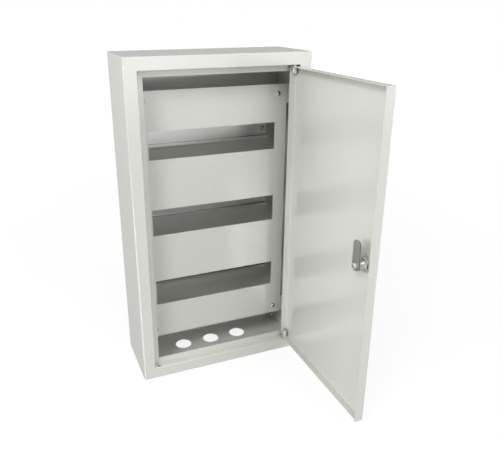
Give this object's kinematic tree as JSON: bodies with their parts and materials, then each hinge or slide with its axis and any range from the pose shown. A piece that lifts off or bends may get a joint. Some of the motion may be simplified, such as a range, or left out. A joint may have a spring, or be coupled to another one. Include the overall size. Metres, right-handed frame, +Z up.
{
  "type": "residential load center",
  "caption": "Surface-mounted sheet-metal load center enclosure with a swung-open pan door, cam lock, windowed inner cover plate and DIN rails.",
  "frame": {"origin": "centre of the box's back face, which lies on the wall", "axes": "+Z up, +X to the right seen from the front, +Y from the front into the wall"},
  "size_m": [0.3, 0.3663, 0.54],
  "materials": {
    "painted_sheet": "semi-gloss light warm-grey powder coat with fine orange peel",
    "rail_zinc": "bright zinc-plated",
    "plated_screws": "zinc-plated",
    "terminal_brass": "bright drawn",
    "neutral_feet": "matte blue",
    "earth_feet": "matte green",
    "hinge_steel": "zinc-plated",
    "lock_chrome": "polished",
    "lock_zinc": "dull zinc-plated"
  },
  "bodies": {
    "box": {"body_wrap": "painted_sheet", "top_panel": "painted_sheet", "bottom_panel": "painted_sheet", "cover_bracket_bottom_left": "painted_sheet", "cover_bracket_top_left": "painted_sheet", "cover_bracket_bottom_right": "painted_sheet", "cover_bracket_top_right": "painted_sheet", "cover_plate": "painted_sheet", "cover_screws": "plated_screws", "din_rail_top": "rail_zinc", "din_rail_middle": "rail_zinc", "din_rail_bottom": "rail_zinc", "rail_bosses": "rail_zinc", "rail_screws": "plated_screws", "neutral_bar": "terminal_brass", "neutral_bar_feet": "neutral_feet", "neutral_bar_screws": "plated_screws", "earth_bar": "terminal_brass", "earth_bar_feet": "earth_feet", "earth_bar_screws": "plated_screws", "earth_stud": "plated_screws", "earth_washer": "plated_screws", "earth_nut": "plated_screws"},
    "door": {"door_panel": "painted_sheet", "hinge_barrel_top": "hinge_steel", "hinge_barrel_bottom": "hinge_steel", "hinge_pin_top": "hinge_steel", "hinge_pin_bottom": "hinge_steel", "lock_body": "lock_chrome", "lock_washer": "lock_zinc", "lock_nut": "lock_zinc"},
    "lock_cam_set": {"lock_plug": "lock_chrome", "lock_cam": "lock_zinc", "cam_washer": "plated_screws", "cam_screw": "plated_screws"}
  },
  "joints": [
    {"name": "door_hinge", "type": "hinge", "parent": "box", "child": "door", "pos_m": [0.1226, -0.1157, 0], "axis": [0, 0, 1], "range_deg": [-90, 10]},
    {"name": "lock_turn", "type": "hinge", "parent": "door", "child": "lock_cam_set", "pos_m": [0.1236, -0.3388, 0.0015], "axis": [1, 0, 0], "range_deg": [0, 90]}
  ]
}
